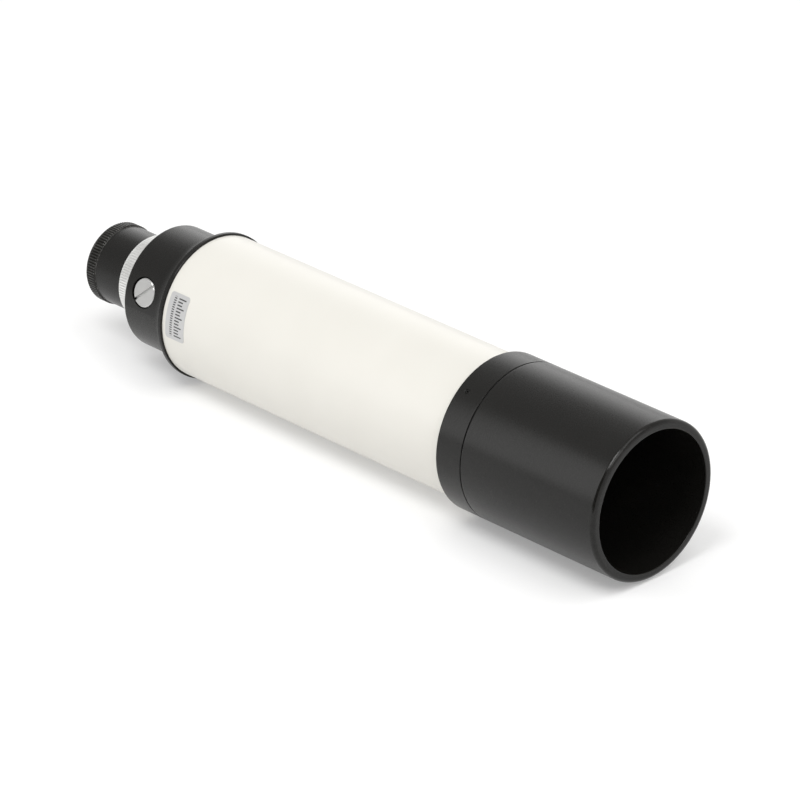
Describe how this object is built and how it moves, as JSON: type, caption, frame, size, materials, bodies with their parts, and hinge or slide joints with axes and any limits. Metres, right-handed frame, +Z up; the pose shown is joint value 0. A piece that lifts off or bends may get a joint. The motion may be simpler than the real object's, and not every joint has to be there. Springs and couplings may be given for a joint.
{
  "type": "finder telescope",
  "caption": "Straight-through refracting finder telescope: long tube, wide screw-on dew shield, stepped rear housing with a plugged side port, and a screw-focus eyepiece with a lock ring.",
  "frame": {"origin": "on the optical axis, in the middle of the bare stretch of tube that the finder's two rings grip", "axes": "+X along the optical axis towards the objective, +Z up with the tube lying level; the illuminator port faces -Y and a little up"},
  "size_m": [0.2914, 0.062, 0.062],
  "materials": {
    "white_paint": "gloss",
    "black_anodised": "satin",
    "bright_aluminium": "satin",
    "label_foil": "satin",
    "coated_glass": "polished",
    "seal_rubber": "matte"
  },
  "bodies": {
    "tube": {"main_tube": "white_paint", "name_label": "label_foil", "front_baffle": "black_anodised", "rear_baffle": "black_anodised", "objective_cell": "black_anodised", "objective_ring": "black_anodised", "objective_crown": "coated_glass", "objective_flint": "coated_glass", "cell_screws": "black_anodised", "rear_housing": "black_anodised", "reticle_cell": "black_anodised", "reticle_glass": "coated_glass", "reticle_ring": "black_anodised"},
    "shield": {"dew_shield": "black_anodised"},
    "lock_ring": {"lock_ring": "bright_aluminium"},
    "ocular": {"lens_tube": "black_anodised", "field_lens": "coated_glass", "field_lens_ring": "black_anodised", "eye_lens_crown": "coated_glass", "eye_lens_flint": "coated_glass", "eye_lens_ring": "black_anodised"},
    "eyepiece": {"eyepiece_barrel": "black_anodised", "eyepiece_cap": "black_anodised"},
    "port_seal": {"port_washer": "seal_rubber"},
    "port_plug": {"port_plug": "bright_aluminium"}
  },
  "joints": [
    {"name": "shield_off", "type": "slide", "parent": "tube", "child": "shield", "axis": [1, 0, 0], "range_m": [0, 0.0065]},
    {"name": "lock_turn", "type": "hinge", "parent": "tube", "child": "lock_ring", "pos_m": [-0.1171, 0, 0], "axis": [-1, 0, 0], "range_deg": [0, 90]},
    {"name": "focus_travel", "type": "slide", "parent": "tube", "child": "ocular", "axis": [-1, 0, 0], "range_m": [-0.002, 0.004]},
    {"name": "focus_turn", "type": "hinge", "parent": "ocular", "child": "eyepiece", "pos_m": [-0.1278, 0, 0], "axis": [-1, 0, 0], "range_deg": [-720, 1440]},
    {"name": "plug_travel", "type": "slide", "parent": "tube", "child": "port_seal", "axis": [0, -0.9494, 0.314], "range_m": [0, 0.005]},
    {"name": "plug_turn", "type": "hinge", "parent": "port_seal", "child": "port_plug", "pos_m": [-0.0989, 0, 0], "axis": [0, -0.9494, 0.314], "range_deg": [0, 1800]}
  ],
  "couplings": [
    {"joint": "focus_turn", "follows": "focus_travel", "rad_per_m": 6283.2},
    {"joint": "plug_turn", "follows": "plug_travel", "rad_per_m": 6283.2}
  ]
}
